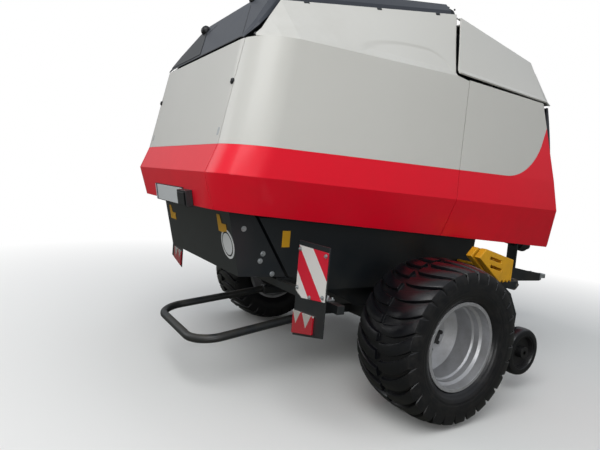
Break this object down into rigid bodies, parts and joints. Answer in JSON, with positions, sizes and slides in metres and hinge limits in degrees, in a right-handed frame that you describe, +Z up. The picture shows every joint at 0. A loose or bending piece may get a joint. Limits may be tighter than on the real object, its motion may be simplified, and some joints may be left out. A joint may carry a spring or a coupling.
{
  "type": "round baler",
  "caption": "Towed variable-chamber round baler with a lifting rear gate, gull-wing side doors, tined pickup, feed rotor, bale ramp, drawbar and stand.",
  "frame": {"origin": "on the ground under the middle of the whole length", "axes": "+X forwards to the hitch eye, +Y to the left, +Z up"},
  "size_m": [4.7595, 2.9922, 2.985],
  "materials": {
    "white cover": "gloss moulded panel, light warm grey-white",
    "red cover": "gloss moulded panel, saturated red",
    "grey roof": "satin dark grey moulded sheet",
    "anthracite paint": "powder-coated steel, bluish anthracite",
    "silver rim": "silver painted steel wheel",
    "tyre": "black flotation tyre",
    "black hub": "black painted hub",
    "belt": "black textured belting",
    "roller steel": "bare steel worn by the crop",
    "yellow plastic": "yellow moulded plastic",
    "reflex red": "red reflector",
    "warning sheet": "retroreflective sheet",
    "zinc steel": "zinc-plated steel",
    "tine steel": "spring steel",
    "shaft guard": "black plastic guard"
  },
  "bodies": {
    "chassis": {"main_frame": "anthracite paint", "axle": "anthracite paint", "front_rollers": "roller steel", "front_belts": "belt", "cover_struts": "anthracite paint", "front_panels_white": "white cover", "front_panels_red": "red cover", "front_roof": "white cover", "net_box": "anthracite paint", "drawbar": "anthracite paint", "hitch_eye": "zinc steel", "gearbox": "anthracite paint", "pto_shaft": "shaft guard", "pto_rest": "anthracite paint", "light_boards": "anthracite paint", "warning_sheets": "warning sheet", "reflectors": "reflex red", "wheel_chocks": "yellow plastic"},
    "gate": {"gate_frame": "anthracite paint", "gate_lower_panel": "anthracite paint", "gate_rollers": "roller steel", "gate_belts": "belt", "rear_panel_red": "red cover", "rear_panel_white": "white cover", "centre_roof": "grey roof"},
    "door_right": {"door_right_red": "red cover", "door_right_white": "white cover"},
    "door_left": {"door_left_red": "red cover", "door_left_white": "white cover"},
    "front_lid": {"front_lid": "grey roof"},
    "wheel_left": {"tyre_left": "tyre", "rim_left": "silver rim", "hub_left": "black hub"},
    "wheel_right": {"tyre_right": "tyre", "rim_right": "silver rim", "hub_right": "black hub"},
    "ramp": {"bale_ramp": "anthracite paint"},
    "feed_rotor": {"feed_rotor": "roller steel"},
    "pickup": {"pickup_frame": "anthracite paint", "pickup_bands": "zinc steel"},
    "pickup_reel": {"pickup_reel": "tine steel"},
    "windguard": {"windguard": "anthracite paint"},
    "windguard_roller": {"windguard_roller": "roller steel"},
    "gauge_wheel_left": {"gauge_wheel_left": "tyre"},
    "gauge_wheel_right": {"gauge_wheel_right": "tyre"},
    "jack_leg": {"jack_leg": "zinc steel"}
  },
  "joints": [
    {"name": "wheel_left_spin", "type": "hinge", "parent": "chassis", "child": "wheel_left", "pos_m": [-0.838, 1.246, 0.537], "axis": [0, 1, 0], "continuous": true},
    {"name": "wheel_right_spin", "type": "hinge", "parent": "chassis", "child": "wheel_right", "pos_m": [-0.838, -1.246, 0.537], "axis": [0, 1, 0], "continuous": true},
    {"name": "gate_lift", "type": "hinge", "parent": "chassis", "child": "gate", "pos_m": [-0.398, 0, 2.9], "axis": [0, 1, 0], "range_deg": [0, 55]},
    {"name": "door_right_lift", "type": "hinge", "parent": "gate", "child": "door_right", "pos_m": [-1.93, -0.67, 2.615], "axis": [-0.9843, 0.0296, -0.1741], "range_deg": [0, 60]},
    {"name": "door_left_lift", "type": "hinge", "parent": "gate", "child": "door_left", "pos_m": [-1.93, 0.67, 2.615], "axis": [0.9843, 0.0296, 0.1741], "range_deg": [0, 60]},
    {"name": "front_lid_lift", "type": "hinge", "parent": "chassis", "child": "front_lid", "pos_m": [0.692, 0, 2.3], "axis": [0, -1, 0], "range_deg": [0, 75]},
    {"name": "ramp_drop", "type": "hinge", "parent": "chassis", "child": "ramp", "pos_m": [-1.288, 0, 0.51], "axis": [0, -1, 0], "range_deg": [0, 12]},
    {"name": "feed_rotor_spin", "type": "hinge", "parent": "chassis", "child": "feed_rotor", "pos_m": [-0.408, 0, 0.68], "axis": [0, 1, 0], "continuous": true},
    {"name": "pickup_lower", "type": "hinge", "parent": "chassis", "child": "pickup", "pos_m": [-0.198, 0, 0.7], "axis": [0, 1, 0], "range_deg": [0, 17]},
    {"name": "pickup_reel_spin", "type": "hinge", "parent": "pickup", "child": "pickup_reel", "pos_m": [0.122, 0, 0.47], "axis": [0, 1, 0], "continuous": true},
    {"name": "windguard_lower", "type": "hinge", "parent": "pickup", "child": "windguard", "pos_m": [-0.048, 0, 0.815], "axis": [0, 1, 0], "range_deg": [0, 7]},
    {"name": "windguard_roller_spin", "type": "hinge", "parent": "windguard", "child": "windguard_roller", "pos_m": [0.312, 0, 0.8], "axis": [0, 1, 0], "continuous": true},
    {"name": "gauge_wheel_left_spin", "type": "hinge", "parent": "pickup", "child": "gauge_wheel_left", "pos_m": [0.172, 1.2, 0.31], "axis": [0, 1, 0], "continuous": true},
    {"name": "gauge_wheel_right_spin", "type": "hinge", "parent": "pickup", "child": "gauge_wheel_right", "pos_m": [0.172, -1.2, 0.31], "axis": [0, 1, 0], "continuous": true},
    {"name": "jack_slide", "type": "slide", "parent": "chassis", "child": "jack_leg", "axis": [0, 0, 1], "range_m": [0, 0.28]}
  ]
}
